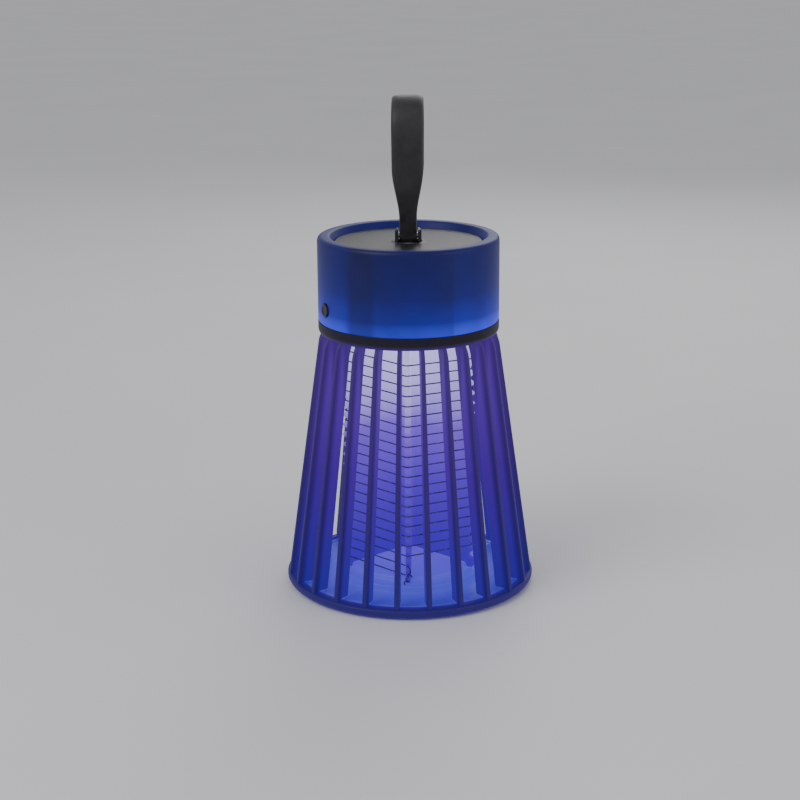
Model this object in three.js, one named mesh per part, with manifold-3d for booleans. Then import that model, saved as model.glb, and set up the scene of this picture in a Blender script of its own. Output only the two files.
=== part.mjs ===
// A portable rechargeable bug zapper, in millimetres, +Z up, front towards -Y.
// The origin is the centre of the base, on the surface that its feet stand on.
import * as THREE from "three";
import { mergeVertices } from "three/addons/utils/BufferGeometryUtils.js";
import Module from "manifold-3d";

// ---- Driving dimensions ------------------------------------------------------------------------
const GAP = 0.3; // clearance between pieces that touch
const FINE = 48; // sides of the large round pieces
const COARSE = 24; // sides of the small round pieces

const BASE = { radius: 60, lipZ: 4.5, bottomZ: 0.9, innerRadius: 55.4, topZ: 5.5 };
const GROOVE = { radius: 57.2, bottomZ: 2.1, topZ: 3.7 }; // bayonet groove inside the base ring
const TRAY = { radius: 55, floorZ: 4.5, bottomZ: 1.0, wall: 2, lugAngle: 10, notchTurn: 25 };
const PLATEAU = { radius: 36, z: 7.8, stepRadius: 29, stepZ: 9.9, topRadius: 4, topZ: 15 };
const FOOT = { radius: 5, ring: 46, count: 4, height: 2.2 };
const FIN = {
  count: 24,
  firstAngle: -4.6,
  footZ: 5.85,
  headZ: 123.7,
  footRadius: 59.3,
  headRadius: 42.7,
  footDepth: 8.4,
  headDepth: 7,
  footThickness: 2.3,
  headThickness: 1.7,
  shoulder: 2.5,
};
const COLLAR = { radius: 42.85, innerRadius: 35.5, bottomZ: 124, topZ: 130.2, rounding: 2.5 };
const VANE = {
  count: 5,
  thickness: 2.4,
  tipRadius: 33.2,
  notchRadius: 30.5,
  bottomZ: 8.4,
  topZ: 124.2,
};
const WIRE = { radius: 0.3, ring: 32.2, topZ: 114.75, rows: 22, rowPitch: 4.9, turns: 10 };
const CHASSIS = { radius: 40.4, bottomZ: 131.7, topZ: 133.5, sleeveRadius: 35, sleeveZ: 125.2 };
const LED_BOARD = { radius: 32, bottomZ: 127.6, topZ: 129 };
const LED = { count: 5, ring: 20, radius: 2.5, length: 5.6 };
const HOUSING = { wall: 2, topZ: 170.1, crestRadius: 37.2, rounding: 4, ledgeRadius: 31.5 };
const TOP_PLATE = { radius: 34.8, bottomZ: 165.1, topZ: 167.1 };
const ANCHOR = { radius: 6.25, flangeRadius: 9.5, bottomZ: 162.9, slotFloorZ: 165.4, topZ: 173.1 };
const STRAP = {
  pinZ: 169.8,
  eyeRadius: 3.6,
  thickness: 4.5,
  crownRadius: 14.5,
  topZ: 235,
  rootWidth: 8.1,
  width: 14.7,
};
const PIN = { radius: 1.25, length: 11.4 };
const BUTTON = { angle: -62.7, z: 138.1, radius: 3.1, proud: 0.8, flangeRadius: 4.2 };
const USB = { width: 9, height: 3.2, depth: 8.6, z: 136.8 };
const CELL = { radius: 9.2, length: 65, y: 13.7, z: 145.2 };
const SCREW = { ring: 37.6, radius: 1.25, headRadius: 2.4, headHeight: 1.8, count: 3 };

// ---- Geometry helpers --------------------------------------------------------------------------
const wasm = await Module();
wasm.setup();

const radians = (degrees) => (degrees * Math.PI) / 180;
// The turn about Z that brings +X to an angle measured from the front, towards +X.
const fromFront = (degrees) => radians(degrees - 90);
const point = (x, y) => new THREE.Vector2(x, y);

/** A closed geometry as a manifold solid with its faces pointing out. */
function solid(geometry) {
  const bare = geometry.index ? geometry.toNonIndexed() : geometry.clone();
  bare.deleteAttribute("normal");
  bare.deleteAttribute("uv");
  const merged = mergeVertices(bare, 1e-4);
  const triVerts = new Uint32Array(merged.index.array);
  const vertProperties = merged.attributes.position.array;
  const made = new wasm.Manifold(new wasm.Mesh({ numProp: 3, vertProperties, triVerts }));
  if (made.volume() > 0) return made;
  for (let i = 0; i < triVerts.length; i += 3) {
    [triVerts[i + 1], triVerts[i + 2]] = [triVerts[i + 2], triVerts[i + 1]];
  }
  return new wasm.Manifold(new wasm.Mesh({ numProp: 3, vertProperties, triVerts }));
}

/** A profile of (radius, z) points turned about the Z axis. */
function revolve(profile, segments = FINE) {
  return solid(new THREE.LatheGeometry(profile, segments).rotateX(Math.PI / 2));
}

/** A flat ring, or a disc where innerRadius is 0. */
function ring(radius, innerRadius, bottomZ, topZ, segments = FINE) {
  const profile = [
    point(innerRadius, bottomZ),
    point(radius, bottomZ),
    point(radius, topZ),
    point(innerRadius, topZ),
  ];
  if (innerRadius > 0) profile.push(point(innerRadius, bottomZ));
  return revolve(profile, segments);
}

function block(x0, x1, y0, y1, z0, z1) {
  const box = new THREE.BoxGeometry(x1 - x0, y1 - y0, z1 - z0);
  return solid(box.translate((x0 + x1) / 2, (y0 + y1) / 2, (z0 + z1) / 2));
}

/** A rod along +X, from x0 to x1, at height z. */
function rodAlongX(radius, x0, x1, z, segments = COARSE) {
  const rod = new THREE.CylinderGeometry(radius, radius, x1 - x0, segments);
  return solid(rod.rotateZ(Math.PI / 2).translate((x0 + x1) / 2, 0, z));
}

/** An outline drawn in X and Z, thickened evenly to both sides along Y. */
function slabGeometry(outline, thickness) {
  const slab = new THREE.ExtrudeGeometry(outline, { depth: thickness, bevelEnabled: false });
  return slab.translate(0, 0, -thickness / 2).rotateX(Math.PI / 2);
}

/** Points of an arc in degrees, from one end to the other. */
function arc(cx, cy, radius, from, to, steps) {
  return Array.from({ length: steps + 1 }, (_, i) => {
    const a = radians(from + ((to - from) * i) / steps);
    return point(cx + radius * Math.cos(a), cy + radius * Math.sin(a));
  });
}

const turned = (shape, degrees) => shape.rotate([0, 0, degrees]);
const joined = (shapes) => shapes.reduce((a, b) => a.add(b));
const without = (shape, cuts) => cuts.reduce((a, b) => a.subtract(b), shape);

function material(color, roughness, metalness = 0) {
  return new THREE.MeshStandardMaterial({ color, roughness, metalness });
}

const PLASTIC = {
  skirt: () => material("#1d1b2c", 0.5),
  white: () => material("#eceaf2", 0.45),
  black: () => material("#0d0d10", 0.4),
};
const METAL = {
  steel: () => material("#b9bcc2", 0.3, 1),
  tin: () => material("#c9ccd0", 0.35, 1),
};
const board = () => material("#1c5a36", 0.5);
const rubber = () => material("#101013", 0.8);

const zapper = new THREE.Group();

/** Adds a solid to a group as one named mesh. */
function addMesh(group, name, shape, finish) {
  const { vertProperties, triVerts, numProp } = shape.getMesh();
  const geometry = new THREE.BufferGeometry();
  geometry.setAttribute("position", new THREE.BufferAttribute(vertProperties, numProp));
  geometry.setIndex(new THREE.BufferAttribute(triVerts, 1));
  geometry.computeVertexNormals();
  const mesh = new THREE.Mesh(geometry, finish);
  mesh.name = name;
  group.add(mesh);
  return mesh;
}

/** A group turned so that its +X points at an angle from the front. */
function facing(degrees) {
  const group = new THREE.Group();
  group.rotation.z = fromFront(degrees);
  zapper.add(group);
  return group;
}

/** A pan-head screw pointing down, its head's underside at z = 0. */
function screw(radius, headRadius, headHeight, length) {
  const slot = block(-headRadius, headRadius, -0.35, 0.35, headHeight * 0.55, headHeight + 1);
  const profile = [
    point(0, -length),
    point(radius, -length + radius),
    point(radius, 0),
    point(headRadius, 0),
    point(headRadius, headHeight * 0.5),
    point(headRadius * 0.75, headHeight),
    point(0, headHeight),
  ];
  return revolve(profile, 16).subtract(slot);
}

// ---- Collection tray with its bayonet lugs and feet --------------------------------------------
const TRAY_LUG_ANGLES = [0, 120, 240];

/** A block that spans an angle on a circle, from one radius to another. */
function arcBlock(innerRadius, radius, from, to, bottomZ, topZ) {
  const outline = new THREE.Shape([
    ...arc(0, 0, radius, from, to, 3),
    ...arc(0, 0, innerRadius, to, from, 3),
  ]);
  const wedge = new THREE.ExtrudeGeometry(outline, { depth: topZ - bottomZ, bevelEnabled: false });
  return solid(wedge.translate(0, 0, bottomZ));
}

function trayShape() {
  const { radius, floorZ, bottomZ, wall } = TRAY;
  const { radius: plateau, z, stepRadius, stepZ, topRadius, topZ } = PLATEAU;
  const body = revolve([
    point(0, topZ - wall),
    point(topRadius, topZ - wall),
    point(stepRadius - wall, stepZ - wall),
    point(stepRadius - wall, z - wall),
    point(plateau - wall, z - wall),
    point(plateau - wall, floorZ - wall),
    point(radius - 2.5, floorZ - wall),
    point(radius - 2.5, bottomZ),
    point(radius, bottomZ),
    point(radius, floorZ - 0.6),
    point(radius - 0.6, floorZ),
    point(plateau, floorZ),
    point(plateau - 0.5, z),
    point(stepRadius, z),
    point(stepRadius - 0.5, stepZ),
    point(topRadius, topZ),
    point(0, topZ),
  ]);
  const half = TRAY.lugAngle / 2;
  const lugs = TRAY_LUG_ANGLES.map((a) =>
    arcBlock(radius - 1.5, GROOVE.radius - 0.4, a - half, a + half, 2.5, 3.4),
  );
  const grip = block(-26, 26, -2.5, 2.5, bottomZ, stepZ - wall + 0.6);
  return joined([body, ...lugs, grip]);
}

addMesh(zapper, "collection_tray", trayShape(), PLASTIC.white());
for (let i = 0; i < FOOT.count; i++) {
  const foot = revolve(
    [
      point(0, 0),
      point(FOOT.radius - 0.6, 0),
      point(FOOT.radius, 0.6),
      point(FOOT.radius, FOOT.height),
      point(0, FOOT.height),
    ],
    COARSE,
  );
  const mesh = addMesh(facing(45 + (360 / FOOT.count) * i), `foot_${i + 1}`, foot, rubber());
  mesh.position.x = FOOT.ring;
}

// ---- Grille skirt: base ring, fins and top collar ----------------------------------------------
function baseRingShape() {
  const { radius, lipZ, bottomZ, innerRadius, topZ } = BASE;
  const body = revolve([
    point(innerRadius, bottomZ),
    point(radius - 2.4, bottomZ),
    point(radius - 0.9, 1.9),
    point(radius - 0.2, 3.4),
    point(radius, lipZ - 0.5),
    point(radius - 0.1, lipZ),
    point(radius - 0.7, topZ - 0.45),
    point(innerRadius, topZ),
    point(innerRadius, GROOVE.topZ),
    point(GROOVE.radius, GROOVE.topZ),
    point(GROOVE.radius, GROOVE.bottomZ),
    point(innerRadius, GROOVE.bottomZ),
    point(innerRadius, bottomZ),
  ]);
  const half = TRAY.lugAngle / 2 + 1;
  const notches = TRAY_LUG_ANGLES.map((a) => {
    const middle = a + TRAY.notchTurn;
    const from = middle - half;
    return arcBlock(innerRadius - 1, GROOVE.radius, from, middle + half, 0, GROOVE.topZ - 0.2);
  });
  const stops = TRAY_LUG_ANGLES.map((a) =>
    arcBlock(innerRadius, GROOVE.radius + 0.5, a - half - 2.5, a - half, 2, 3.9),
  );
  return joined([without(body, notches), ...stops]);
}

const finThickness = (z) =>
  THREE.MathUtils.mapLinear(z, FIN.footZ, FIN.headZ, FIN.footThickness, FIN.headThickness);

function finShape() {
  const { footZ, headZ, footRadius, headRadius, footDepth, headDepth, shoulder } = FIN;
  const gussetZ = headZ - 5.5;
  const innerAt = (z) =>
    THREE.MathUtils.mapLinear(z, footZ, headZ, footRadius - footDepth, headRadius - headDepth);
  const outline = new THREE.Shape([
    point(footRadius - footDepth, footZ),
    point(BASE.innerRadius, footZ),
    point(footRadius, footZ - 0.4),
    ...arc(headRadius - shoulder + 0.35, headZ - shoulder, shoulder, 8, 90, 5),
    point(innerAt(headZ) - 1.4, headZ),
    point(innerAt(headZ) - 1.1, headZ - 2),
    point(innerAt(gussetZ), gussetZ),
  ]);
  const geometry = slabGeometry(outline, 1);
  const place = geometry.attributes.position;
  for (let i = 0; i < place.count; i++) {
    place.setY(i, place.getY(i) * finThickness(place.getZ(i)));
  }
  return solid(geometry);
}

function collarShape() {
  const { radius, innerRadius, bottomZ, topZ, rounding } = COLLAR;
  const body = revolve([
    point(innerRadius, bottomZ),
    ...arc(radius - rounding, bottomZ + rounding, rounding, -90, 0, 5),
    point(radius, topZ),
    point(innerRadius, topZ),
    point(innerRadius, bottomZ),
  ]);
  const pilots = screwAngles().map((a) => turned(pilotHole(), a - 90));
  return without(body, pilots);
}

function screwAngles() {
  return Array.from({ length: SCREW.count }, (_, i) => 30 + (360 / SCREW.count) * i);
}

/** The hole that a chassis screw runs in, drawn on +X. */
function pilotHole() {
  const hole = ring(SCREW.radius + GAP, 0, COLLAR.bottomZ + 1, CHASSIS.topZ + 1, 16);
  return hole.translate([SCREW.ring, 0, 0]);
}

addMesh(zapper, "skirt_base_ring", baseRingShape(), PLASTIC.skirt());
addMesh(zapper, "skirt_top_collar", collarShape(), PLASTIC.skirt());
const fin = finShape();
for (let i = 0; i < FIN.count; i++) {
  const angle = FIN.firstAngle + (360 / FIN.count) * i;
  const name = `skirt_fin_${String(i + 1).padStart(2, "0")}`;
  addMesh(facing(angle), name, fin, PLASTIC.skirt());
}

// ---- High-voltage cage: star-shaped frame and two wires ----------------------------------------
// The two wires are wound side by side, so each drops two rows a turn, evenly from vane to vane.
const VANE_DROP = (2 * WIRE.rowPitch) / VANE.count;

/** One vane's outline, with a notch for each row of wire along its outer edge. */
function vaneOutline(firstNotchZ) {
  const { tipRadius, notchRadius, bottomZ, topZ } = VANE;
  const clear = GAP * 2;
  const outline = [
    point(0, PLATEAU.topZ + clear),
    point(PLATEAU.topRadius, PLATEAU.topZ + clear),
    point(PLATEAU.stepRadius, PLATEAU.stepZ + clear),
    point(PLATEAU.stepRadius + clear, bottomZ),
    point(tipRadius - 0.6, bottomZ),
  ];
  const halfPitch = WIRE.rowPitch / 2;
  for (let row = WIRE.rows - 1; row >= 0; row--) {
    const z = firstNotchZ - row * WIRE.rowPitch;
    if (z - halfPitch < bottomZ + 0.4) continue;
    outline.push(
      point(tipRadius, z - halfPitch + 0.45),
      point(notchRadius, z - 0.7),
      point(notchRadius, z + 0.7),
      point(tipRadius, z + halfPitch - 0.45),
    );
  }
  outline.push(point(tipRadius - 0.6, topZ), point(0, topZ));
  return new THREE.Shape(outline);
}

/** The highest notch of a vane, counted from the front, for wires that start a vane earlier. */
function firstNotchHeight(vane) {
  const steps = (2 * (vane + 1)) % VANE.count;
  return WIRE.topZ + VANE_DROP - (steps * WIRE.rowPitch) / VANE.count;
}

function cageFrameShape() {
  const vanes = Array.from({ length: VANE.count }, (_, i) => {
    const vane = solid(slabGeometry(vaneOutline(firstNotchHeight(i)), VANE.thickness));
    return turned(vane, (360 / VANE.count) * i - 90);
  });
  const hub = ring(8, 0, VANE.topZ - 3, LED_BOARD.bottomZ - GAP, COARSE);
  const core = ring(3.2, 0, PLATEAU.topZ + 1.2, VANE.topZ - 1, COARSE);
  const screwHole = ring(1.5, 0, VANE.topZ - 8, LED_BOARD.bottomZ, COARSE);
  return joined([...vanes, hub, core]).subtract(screwHole);
}

const WIRE_SIDES = WIRE.turns * VANE.count + 1;

/** A wire that runs straight from vane to vane, from the one before the front one. */
class WirePath extends THREE.Curve {
  constructor(frontZ) {
    super();
    this.frontZ = frontZ;
    this.arcLengthDivisions = WIRE_SIDES * 4;
  }
  getPoint(t, target = new THREE.Vector3()) {
    const at = t * WIRE_SIDES;
    const side = THREE.MathUtils.clamp(Math.floor(at), 0, WIRE_SIDES - 1);
    return target.lerpVectors(this.corner(side), this.corner(side + 1), at - side);
  }
  corner(index) {
    const passed = index - 1;
    const a = fromFront((passed * 360) / VANE.count);
    const z = this.frontZ - passed * VANE_DROP;
    return new THREE.Vector3(WIRE.ring * Math.cos(a), WIRE.ring * Math.sin(a), z);
  }
}

function wireShape(frontZ) {
  const section = new THREE.Shape(arc(0, 0, WIRE.radius, 0, 300, 5));
  const options = { steps: WIRE_SIDES, extrudePath: new WirePath(frontZ), bevelEnabled: false };
  return solid(new THREE.ExtrudeGeometry(section, options));
}

addMesh(zapper, "cage_frame", cageFrameShape(), PLASTIC.white());
addMesh(zapper, "hv_wire_a", wireShape(WIRE.topZ), METAL.steel());
addMesh(zapper, "hv_wire_b", wireShape(WIRE.topZ - WIRE.rowPitch), METAL.steel());

// ---- Chassis, seal and ultraviolet lamps -------------------------------------------------------
function chassisShape() {
  const { radius, bottomZ, topZ, sleeveRadius, sleeveZ } = CHASSIS;
  const body = revolve([
    point(0, bottomZ),
    point(sleeveRadius - 2.4, bottomZ),
    point(sleeveRadius - 2.4, sleeveZ),
    point(sleeveRadius, sleeveZ),
    point(sleeveRadius, bottomZ),
    point(radius, bottomZ),
    point(radius, topZ),
    point(0, topZ),
  ]);
  const holes = screwAngles().map((a) => turned(pilotHole(), a - 90));
  const centre = ring(1.5 + GAP, 0, bottomZ - 1, topZ + 1, COARSE);
  return without(body, [...holes, centre]);
}

addMesh(zapper, "chassis_plate", chassisShape(), PLASTIC.white());
addMesh(zapper, "seal_ring", ring(40.4, 39.3, COLLAR.topZ + GAP, CHASSIS.bottomZ - GAP), rubber());
const ledBoard = ring(LED_BOARD.radius, 1.9, LED_BOARD.bottomZ, LED_BOARD.topZ, 48);
addMesh(zapper, "led_board", ledBoard, board());
for (let i = 0; i < LED.count; i++) {
  const top = LED_BOARD.bottomZ - GAP;
  const domeZ = top - LED.length + LED.radius;
  const led = revolve(
    [
      ...arc(0, domeZ, LED.radius, -90, 0, 4),
      point(LED.radius, top - 1),
      point(LED.radius + 0.4, top - 1),
      point(LED.radius + 0.4, top),
      point(0, top),
    ],
    16,
  );
  const lens = material("#b7a6ff", 0.15);
  const mesh = addMesh(facing((360 / LED.count) * (i + 0.5)), `uv_led_${i + 1}`, led, lens);
  mesh.position.x = LED.ring;
}
for (const [i, angle] of screwAngles().entries()) {
  const shape = screw(SCREW.radius, SCREW.headRadius, SCREW.headHeight, 8);
  const mesh = addMesh(facing(angle), `chassis_screw_${i + 1}`, shape, METAL.steel());
  mesh.position.set(SCREW.ring, 0, CHASSIS.topZ + GAP);
}
const cageScrew = screw(1.2, 2.8, 2, 13).translate([0, 0, CHASSIS.topZ + GAP]);
addMesh(zapper, "cage_screw", cageScrew, METAL.steel());

// ---- Lamp housing and top plate ----------------------------------------------------------------
function housingShape() {
  const { wall, topZ, crestRadius, rounding, ledgeRadius } = HOUSING;
  const { radius, topZ: footZ } = COLLAR;
  const ledgeZ = TOP_PLATE.bottomZ - GAP;
  const recess = TOP_PLATE.radius + GAP + 0.2;
  const body = revolve([
    point(radius - wall, footZ + GAP),
    point(radius, footZ + GAP),
    ...arc(radius - rounding, topZ - rounding, rounding, 0, 90, 6),
    point(crestRadius + 0.5, topZ),
    point(crestRadius, topZ - 0.5),
    point(recess, TOP_PLATE.topZ - 0.2),
    point(recess, ledgeZ),
    point(ledgeRadius, ledgeZ),
    point(ledgeRadius, ledgeZ - 2),
    point(recess + 1, ledgeZ - 2),
    point(radius - wall, ledgeZ - 5),
    point(radius - wall, footZ + GAP),
  ]);
  const buttonHole = rodAlongX(BUTTON.radius + 0.4, radius - 5, radius + 5, BUTTON.z);
  const { width, height, z } = USB;
  const side = width / 2 + GAP;
  const rise = height / 2 + GAP;
  const usbHole = block(-side, side, radius - 5, radius + 5, z - rise, z + rise);
  return without(body, [turned(buttonHole, BUTTON.angle - 90), usbHole]);
}

const frosted = new THREE.MeshStandardMaterial({
  color: "#cfd2ee",
  roughness: 0.6,
  transparent: true,
  opacity: 0.7,
});
addMesh(zapper, "lamp_housing", housingShape(), frosted);
const topPlate = ring(TOP_PLATE.radius, ANCHOR.radius + GAP, TOP_PLATE.bottomZ, TOP_PLATE.topZ);
addMesh(zapper, "top_plate", topPlate, PLASTIC.black());

// ---- Hanging strap on its anchor ---------------------------------------------------------------
function anchorShape() {
  const { radius, flangeRadius, bottomZ, slotFloorZ, topZ } = ANCHOR;
  const flangeTop = TOP_PLATE.bottomZ - GAP;
  const body = revolve(
    [
      point(0, bottomZ),
      point(flangeRadius, bottomZ),
      point(flangeRadius, flangeTop),
      point(radius, flangeTop),
      point(radius, topZ - 1.2),
      point(radius - 0.35, topZ - 0.35),
      point(radius - 1.2, topZ),
      point(0, topZ),
    ],
    32,
  );
  const half = STRAP.rootWidth / 2 + 2 * GAP;
  const slot = block(-half, half, -10, 10, slotFloorZ, topZ + 1);
  const pinHole = rodAlongX(PIN.radius + GAP, -10, 10, STRAP.pinZ);
  return without(body, [slot, pinHole]);
}

/** The closed outline round two circles on the Z axis, with its straight sides divided. */
function teardrop(lowZ, lowRadius, highZ, highRadius, divisions) {
  const lean = THREE.MathUtils.radToDeg(Math.asin((highRadius - lowRadius) / (highZ - lowZ)));
  const low = arc(0, lowZ, lowRadius, 180 + lean, 360 - lean, 8);
  const high = arc(0, highZ, highRadius, -lean, 180 + lean, 20);
  const between = (a, b) =>
    Array.from({ length: divisions - 1 }, (_, i) => a.clone().lerp(b, (i + 1) / divisions));
  return [...low, ...between(low.at(-1), high[0]), ...high, ...between(high.at(-1), low[0])];
}

/** The strap's width along the pin at a height: narrow in the anchor, full above the middle. */
function strapWidth(z) {
  const { pinZ, topZ, rootWidth, width } = STRAP;
  const share = THREE.MathUtils.smootherstep(z, pinZ + 8, (pinZ + topZ) / 2);
  return THREE.MathUtils.lerp(rootWidth, width, share);
}

function strapShape() {
  const { pinZ, eyeRadius, thickness, crownRadius, topZ } = STRAP;
  const crownZ = topZ - crownRadius;
  const growth = (crownRadius - eyeRadius) / (crownZ - pinZ);
  const holeRadius = 1.6;
  const holeZ = pinZ + (holeRadius + thickness - eyeRadius) / growth;
  const outline = new THREE.Shape(teardrop(pinZ, eyeRadius, crownZ, crownRadius, 8));
  const opening = teardrop(holeZ, holeRadius, crownZ, crownRadius - thickness, 8);
  const eye = arc(0, pinZ, PIN.radius + 0.4, 0, 330, 11);
  outline.holes = [new THREE.Path(opening), new THREE.Path(eye)];
  const geometry = slabGeometry(outline, 1).rotateZ(Math.PI / 2);
  const place = geometry.attributes.position;
  for (let i = 0; i < place.count; i++) {
    place.setX(i, place.getX(i) * strapWidth(place.getZ(i)));
  }
  return solid(geometry);
}

addMesh(zapper, "strap_anchor", anchorShape(), PLASTIC.black());
const pin = rodAlongX(PIN.radius, -PIN.length / 2, PIN.length / 2, STRAP.pinZ);
addMesh(zapper, "strap_pin", pin, METAL.steel());
addMesh(zapper, "hanging_strap", strapShape(), rubber());

// ---- Power button, and its switch on a small upright board -------------------------------------
const buttonSide = facing(BUTTON.angle);
const wallRadius = COLLAR.radius - HOUSING.wall;

/** The button along +X: a domed cap outside the wall and a flange inside it. */
function buttonShape() {
  const { radius, proud, flangeRadius } = BUTTON;
  const face = COLLAR.radius + proud;
  const flangeTop = wallRadius - 0.8;
  const profile = [
    point(0, flangeTop - 1),
    point(flangeRadius, flangeTop - 1),
    point(flangeRadius, flangeTop),
    point(radius, flangeTop),
    point(radius, face - 0.5),
    point(radius - 0.6, face - 0.1),
    point(0, face),
  ];
  const cap = new THREE.LatheGeometry(profile, COARSE);
  return solid(cap.rotateZ(-Math.PI / 2).translate(0, 0, BUTTON.z));
}

const stemTip = wallRadius - 1.8 - 1;
const switchShape = joined([
  block(31.7, 33.4, -4.5, 4.5, CHASSIS.topZ + GAP, BUTTON.z + 5),
  block(33.2, 36.6, -3, 3, BUTTON.z - 3, BUTTON.z + 3),
  rodAlongX(1.5, 36.4, stemTip, BUTTON.z, 16),
]);
addMesh(buttonSide, "power_button", buttonShape(), PLASTIC.black());
addMesh(buttonSide, "tact_switch", switchShape, METAL.tin());

// ---- Battery, boards and high-voltage supply ---------------------------------------------------
const floorZ = CHASSIS.topZ + GAP;

function cradleShape() {
  const { radius, y, z } = CELL;
  const body = block(-28, 28, y - radius - 1.2, y + radius + 1.2, floorZ, z - 2);
  const seat = rodAlongX(radius + GAP, -40, 40, z, 32).translate([0, y, 0]);
  return body.subtract(seat);
}

function cellShape() {
  const half = CELL.length / 2;
  const profile = [
    point(0, -half),
    point(CELL.radius - 0.8, -half),
    point(CELL.radius, -half + 0.8),
    point(CELL.radius, half - 2.4),
    point(CELL.radius - 0.8, half - 1.6),
    point(3, half - 1.6),
    point(3, half),
    point(0, half),
  ];
  const cell = new THREE.LatheGeometry(profile, 32);
  return solid(cell.rotateZ(-Math.PI / 2).translate(0, CELL.y, CELL.z));
}

function usbShape() {
  const { width, height, depth, z } = USB;
  const mouth = COLLAR.radius - 0.5;
  const shell = block(-width / 2, width / 2, mouth - depth, mouth, z - height / 2, z + height / 2);
  const side = width / 2 - 0.5;
  const rise = height / 2 - 0.5;
  const cavity = block(-side, side, mouth - depth + 1.5, mouth + 1, z - rise, z + rise);
  const tongue = block(-3.2, 3.2, mouth - depth + 1, mouth - 1, z - 0.4, z + 0.4);
  return shell.subtract(cavity).add(tongue);
}

/** The supply transformer: a wound bobbin between two flanges, on a ferrite core. */
function transformerShape() {
  const core = block(-25, -14, -17.6, -9.6, floorZ + 2, floorZ + 18);
  const flanges = [2.6, 15.4].map((rise) =>
    block(-25.6, -13.4, -19.6, -7.6, floorZ + rise, floorZ + rise + 1.6),
  );
  const winding = ring(5.6, 0, floorZ + 3, floorZ + 16, COARSE).translate([-19.5, -13.6, 0]);
  return joined([core, ...flanges, winding]);
}

const controlBoard = joined([
  block(-26, 21, -7, -5.4, floorZ, floorZ + 26),
  block(-8, -1, -8.4, -6.9, floorZ + 12, floorZ + 19),
  block(12, 18, -9.6, -6.9, floorZ + 4, floorZ + 10),
]);
const capacitor = joined([
  block(0, 11, -14.4, -8.9, floorZ + 1, floorZ + 10),
  block(2, 3, -9.5, -7.4, floorZ + 2, floorZ + 3),
]);
addMesh(zapper, "battery_cell", cellShape(), material("#2f6fb5", 0.4));
addMesh(zapper, "battery_cradle", cradleShape(), PLASTIC.white());
addMesh(zapper, "control_board", controlBoard, board());
addMesh(zapper, "hv_transformer", transformerShape(), material("#c9a227", 0.5));
addMesh(zapper, "hv_capacitor", capacitor, material("#b23a2a", 0.4));
addMesh(zapper, "usb_socket", usbShape(), METAL.steel());
addMesh(zapper, "charge_board", block(-8, 8, 24.6, 38.4, floorZ, floorZ + 1), board());

export default zapper;
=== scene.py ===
"""A portable rechargeable bug zapper: the looks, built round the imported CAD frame."""

import math

import bmesh
import bpy
from mathutils import Matrix, Vector


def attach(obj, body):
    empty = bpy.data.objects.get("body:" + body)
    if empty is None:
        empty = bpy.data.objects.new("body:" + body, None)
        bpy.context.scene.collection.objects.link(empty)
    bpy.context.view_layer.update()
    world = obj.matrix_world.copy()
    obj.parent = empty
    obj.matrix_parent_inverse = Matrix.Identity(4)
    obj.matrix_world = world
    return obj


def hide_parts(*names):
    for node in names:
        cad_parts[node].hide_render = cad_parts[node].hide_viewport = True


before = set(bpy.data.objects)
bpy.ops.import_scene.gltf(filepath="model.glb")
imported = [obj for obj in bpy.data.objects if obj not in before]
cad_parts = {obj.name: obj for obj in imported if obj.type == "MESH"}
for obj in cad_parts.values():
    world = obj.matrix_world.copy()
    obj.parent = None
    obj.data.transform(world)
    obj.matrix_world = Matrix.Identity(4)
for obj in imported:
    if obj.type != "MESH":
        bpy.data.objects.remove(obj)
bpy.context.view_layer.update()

MM = 0.001
ROUND = 192  # sides of a large round piece
SMALL_ROUND = 64

# ---- Driving dimensions, in millimetres, as in the frame ------------------------------------
BASE_RADIUS = 60.0
BASE_INNER = 55.4
COLLAR_RADIUS = 42.85
COLLAR_INNER = 35.5
COLLAR_BOTTOM = 124.0
SEAM_Z = 130.2
HOUSING_TOP = 170.1
HOUSING_WALL = 2.0
CREST_RADIUS = 37.2
PLATE_RADIUS = 34.8
PLATE_BOTTOM = 165.1
PLATE_TOP = 167.1
FIN_COUNT = 24
FIN_FIRST = -4.6
FIN_FOOT = (5.85, 59.3, 8.4, 2.3)  # height, outer radius, depth, thickness
FIN_HEAD = (123.7, 42.7, 7.0, 1.7)
VANE_THICKNESS = 2.4
VANE_COUNT = 5
VANE_TIP = 33.2
VANE_NOTCH = 30.5
VANE_BOTTOM = 8.4
VANE_TOP = 124.2
WIRE_RADIUS = 0.3
WIRE_RING = 32.2
WIRE_TOP = 114.75
WIRE_ROWS = 22
ROW_PITCH = 4.9
WIRE_TURNS = 10
HALF_PITCH = ROW_PITCH / 2
VANE_DROP = 2 * ROW_PITCH / VANE_COUNT  # two wires, so two rows a turn
LED_RING = 20.0
LED_RADIUS = 2.5
LED_LENGTH = 5.6
LED_TOP = 127.3
GROOVE_RADIUS = 57.2  # bayonet groove inside the base ring
GROOVE_BOTTOM = 2.1
GROOVE_TOP = 3.7
LUG_ANGLES = (0, 120, 240)
FOOT_COUNT = 4
FOOT_RING = 46.0
ANCHOR_RADIUS = 6.25
ANCHOR_TOP = 173.1
ANCHOR_BOTTOM = 162.9
SLOT_FLOOR = 165.4
PIN_Z = 169.8
STRAP_TOP = 235.0
STRAP_THICKNESS = 4.5
STRAP_EYE = 3.6
STRAP_CROWN = 14.5
STRAP_ROOT_WIDTH = 8.1
STRAP_WIDTH = 14.7
BUTTON_ANGLE = -62.7
BUTTON_Z = 138.1
BUTTON_RADIUS = 3.1
USB_Z = 136.8


def lerp(a, b, t):
    return a + (b - a) * t


def smooth(t):
    t = min(1.0, max(0.0, t))
    return t * t * (3 - 2 * t)


# ---- Camera ----------------------------------------------------------------------------------
CAMERA_DISTANCE = 833.0
CAMERA_HEIGHT = 324.5
CAMERA_AZIMUTH = 1.5
CAMERA_PITCH = 15.75
CAMERA_YAW = 0.3
CAMERA_ROLL = -0.377


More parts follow.
